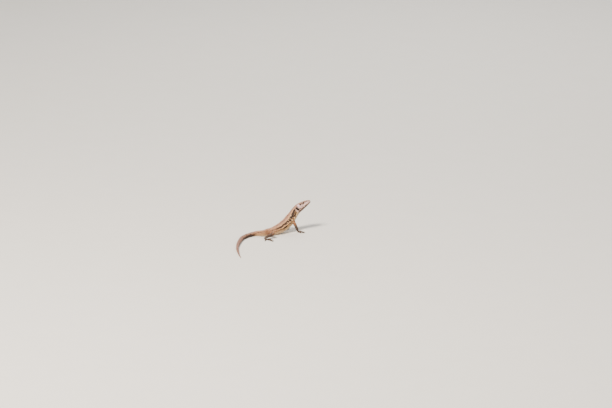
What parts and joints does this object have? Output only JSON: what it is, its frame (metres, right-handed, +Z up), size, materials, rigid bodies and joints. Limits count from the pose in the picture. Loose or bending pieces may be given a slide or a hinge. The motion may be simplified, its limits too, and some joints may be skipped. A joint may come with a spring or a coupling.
{
  "type": "wall lizard",
  "caption": "Life-size basking wall lizard at rest: chest propped on the forelegs, head raised and tilted, belly and hips down, tail curved round to its right.",
  "frame": {"origin": "on the floor under the hips, where the underside rests", "axes": "+Z up, head towards +X and a little to +Y, tail curving round towards -Y"},
  "size_m": [0.0637, 0.097, 0.0264],
  "materials": {
    "head_skin": "scaled, satin",
    "trunk_skin": "finely scaled, satin",
    "tail_skin": "ringed scales, satin",
    "leg_skin": "finely scaled, satin",
    "eye": "wet gloss",
    "eardrum": "thin, satin",
    "claw": "horn, satin"
  },
  "bodies": {
    "root": {"head": "head_skin", "lower_jaw": "head_skin", "eye_left": "eye", "eye_right": "eye", "ear_left": "eardrum", "ear_right": "eardrum", "neck": "trunk_skin", "chest": "trunk_skin", "belly": "trunk_skin", "hips": "trunk_skin", "tail_1": "tail_skin", "tail_2": "tail_skin", "tail_3": "tail_skin", "tail_4": "tail_skin", "tail_5": "tail_skin", "tail_6": "tail_skin", "upper_arm_right": "leg_skin", "upper_arm_left": "leg_skin", "forearm_right": "leg_skin", "forearm_left": "leg_skin", "hand_right": "leg_skin", "hand_left": "leg_skin", "thigh_right": "leg_skin", "thigh_left": "leg_skin", "shin_right": "leg_skin", "shin_left": "leg_skin", "foot_right": "leg_skin", "foot_left": "leg_skin"}
  },
  "joints": []
}
